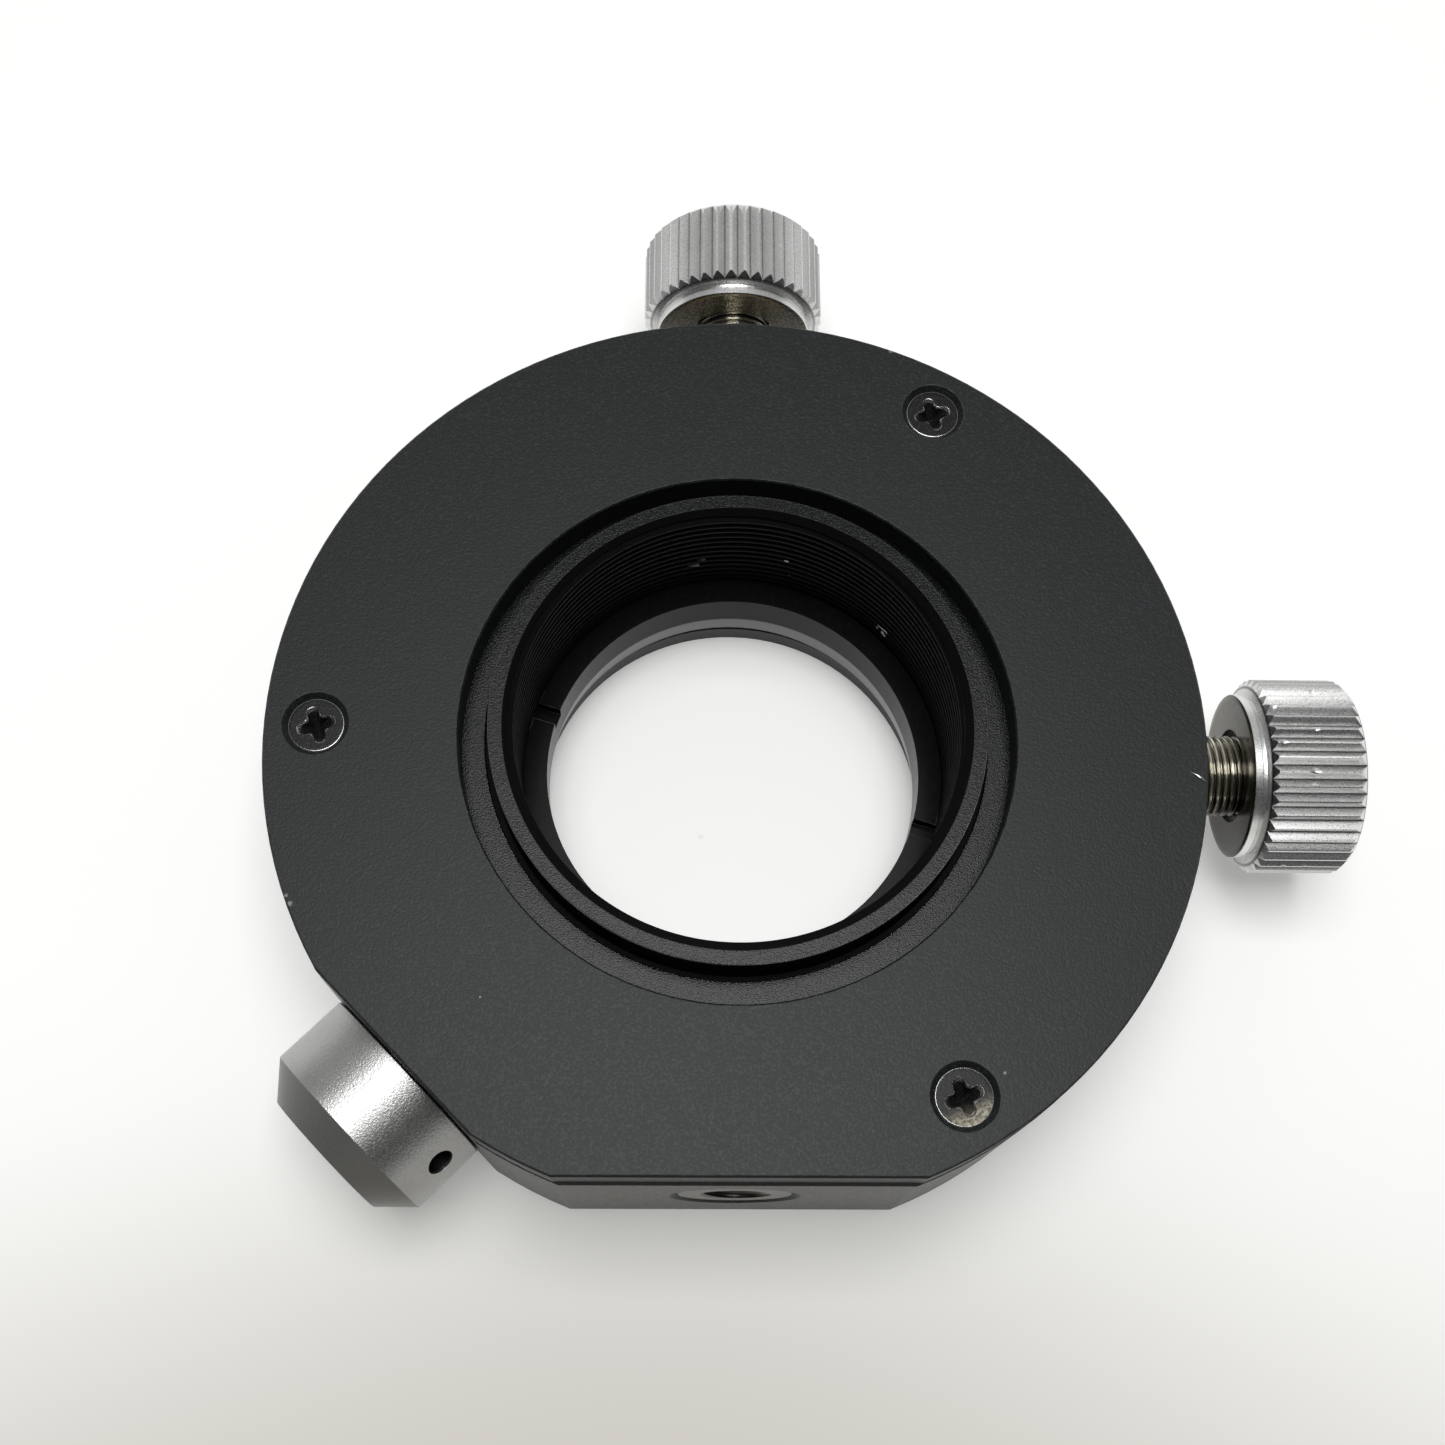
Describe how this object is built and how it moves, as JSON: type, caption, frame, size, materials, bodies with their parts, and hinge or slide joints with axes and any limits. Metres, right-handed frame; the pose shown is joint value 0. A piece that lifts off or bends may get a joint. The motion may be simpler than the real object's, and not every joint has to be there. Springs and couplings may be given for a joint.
{
  "type": "two-axis lens centring mount",
  "caption": "Round lens mount with a floating threaded lens cell, two fine adjusting screws with serrated knobs, a spring plunger and a tapped post hole.",
  "frame": {"origin": "on the optical axis at the rear face of the housing, centre of the rear opening", "axes": "+Z is the optical axis towards the front cover; +X and +Y run out along the two adjusting screws; the post flat faces -Y"},
  "size_m": [0.0636, 0.0629, 0.0156],
  "materials": {
    "black_housing": "black anodised, fine blasted grain",
    "black_cover": "black anodised, fine blasted grain",
    "black_cell": "black anodised, coarser grain on its front faces",
    "black_ring": "black anodised, turned",
    "black_screw": "black oxide",
    "satin_aluminium": "satin, serrated",
    "steel": "ground",
    "warm_steel": "polished thread with a warm tint",
    "bronze": "turned",
    "spring_wire": "drawn wire"
  },
  "bodies": {
    "housing_body": {"housing": "black_housing", "cover_plate": "black_cover", "cover_screws": "black_screw", "post_insert": "steel", "floor_pins": "steel", "x_bush": "bronze", "y_bush": "bronze", "plunger_cap": "satin_aluminium", "return_spring": "spring_wire"},
    "cross_slide": {"guide_ring": "bronze", "ring_pins": "steel"},
    "cell_body": {"lens_cell": "black_cell", "retaining_ring": "black_ring", "x_pad": "steel", "y_pad": "steel", "spring_seat": "steel"},
    "x_tip": {"x_ball": "steel"},
    "x_screw": {"x_spindle": "warm_steel", "x_knob": "satin_aluminium"},
    "y_tip": {"y_ball": "steel"},
    "y_screw": {"y_spindle": "warm_steel", "y_knob": "satin_aluminium"}
  },
  "joints": [
    {"name": "x_feed", "type": "slide", "parent": "housing_body", "child": "x_tip", "axis": [1, 0, 0], "range_m": [-0.001, 0.001]},
    {"name": "x_knob_turn", "type": "hinge", "parent": "x_tip", "child": "x_screw", "pos_m": [0.03, 0, 0.00762], "axis": [1, 0, 0], "range_deg": [-850.5, 850.5]},
    {"name": "y_feed", "type": "slide", "parent": "housing_body", "child": "y_tip", "axis": [0, 1, 0], "range_m": [-0.0014, 0.0006]},
    {"name": "y_knob_turn", "type": "hinge", "parent": "y_tip", "child": "y_screw", "pos_m": [0, 0.03, 0.00762], "axis": [0, 1, 0], "range_deg": [-1190.7, 510.4]},
    {"name": "cell_x", "type": "slide", "parent": "housing_body", "child": "cross_slide", "axis": [1, 0, 0], "range_m": [-0.001, 0.001], "deforming": ["return_spring"]},
    {"name": "cell_y", "type": "slide", "parent": "cross_slide", "child": "cell_body", "axis": [0, 1, 0], "range_m": [-0.0014, 0.0006], "deforming": ["return_spring"]}
  ],
  "couplings": [
    {"joint": "x_feed", "follows": "cell_x", "ratio": 1},
    {"joint": "x_knob_turn", "follows": "cell_x", "rad_per_m": 14843},
    {"joint": "y_feed", "follows": "cell_y", "ratio": 1},
    {"joint": "y_knob_turn", "follows": "cell_y", "rad_per_m": 14843}
  ]
}
